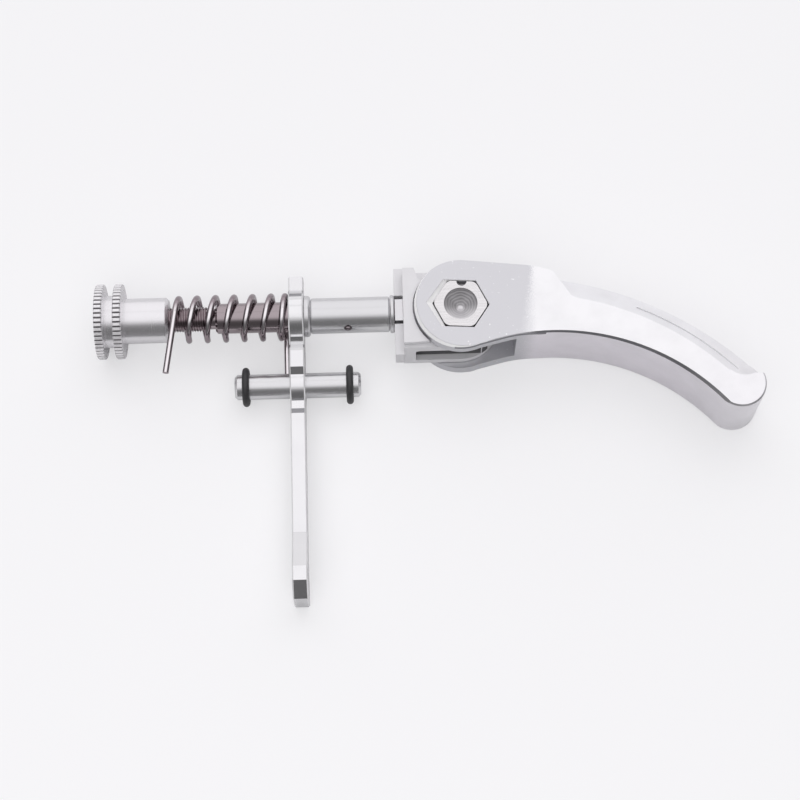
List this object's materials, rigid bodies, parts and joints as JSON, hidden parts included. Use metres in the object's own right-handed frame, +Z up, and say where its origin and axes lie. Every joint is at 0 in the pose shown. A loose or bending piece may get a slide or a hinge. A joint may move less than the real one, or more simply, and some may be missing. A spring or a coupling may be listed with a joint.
{
  "type": "seatpost_clamp_quick_release",
  "caption": "Quick release seatpost clamp for a folding bicycle: cam lever, draw bolt, spring latch with rubber-ringed cross pin, and knurled adjuster nut",
  "frame": {"origin": "where the bolt's axis meets the clamping face of the cam housing", "axes": "+X along the bolt toward the lever, -Y toward the lever's open end, +Z up from the table"},
  "size_m": [0.1309, 0.0664, 0.015],
  "materials": {
    "housing_aluminium": "bead blasted, clear anodised",
    "lever_aluminium": "bead blasted, clear anodised",
    "latch_aluminium": "machined, clear anodised",
    "nut_aluminium": "turned, clear anodised",
    "cam_steel": "ground, bare",
    "screw_steel": "turned, bare",
    "sleeve_steel": "turned and polished",
    "pin_steel": "ground and polished",
    "bolt_titanium": "turned, faint warm tint",
    "spring_steel": "drawn wire, faint warm tint",
    "ring_rubber": "matte"
  },
  "bodies": {
    "housing": {"cam_housing": "housing_aluminium", "end_washer": "sleeve_steel", "bushing_sleeve": "sleeve_steel", "latch_washer": "sleeve_steel"},
    "handle": {"lever": "lever_aluminium", "camshaft": "cam_steel", "retaining_screw": "screw_steel"},
    "bolt": {"draw_bolt": "bolt_titanium", "cam_follower": "cam_steel"},
    "nut": {"adjuster_nut": "nut_aluminium"},
    "latch": {"latch_plate": "latch_aluminium", "latch_pin": "pin_steel", "rubber_ring_left": "ring_rubber", "rubber_ring_right": "ring_rubber", "return_spring": "spring_steel"}
  },
  "joints": [
    {"name": "lever_pivot", "type": "hinge", "parent": "housing", "child": "handle", "pos_m": [0.013, -0.00102, 0], "axis": [0, 0, 1], "range_deg": [-70, 0]},
    {"name": "bolt_draw", "type": "slide", "parent": "housing", "child": "bolt", "axis": [1, 0, 0], "range_m": [0, 0.0008]},
    {"name": "nut_turn", "type": "hinge", "parent": "bolt", "child": "nut", "pos_m": [-0.0545, 0, 0], "axis": [1, 0, 0], "continuous": true},
    {"name": "latch_swing", "type": "hinge", "parent": "housing", "child": "latch", "pos_m": [-0.01955, 0, 0], "axis": [1, 0, 0], "range_deg": [-100, 20]}
  ],
  "couplings": [
    {"joint": "bolt_draw", "follows": "lever_pivot", "m_per_rad": -0.00064727}
  ]
}
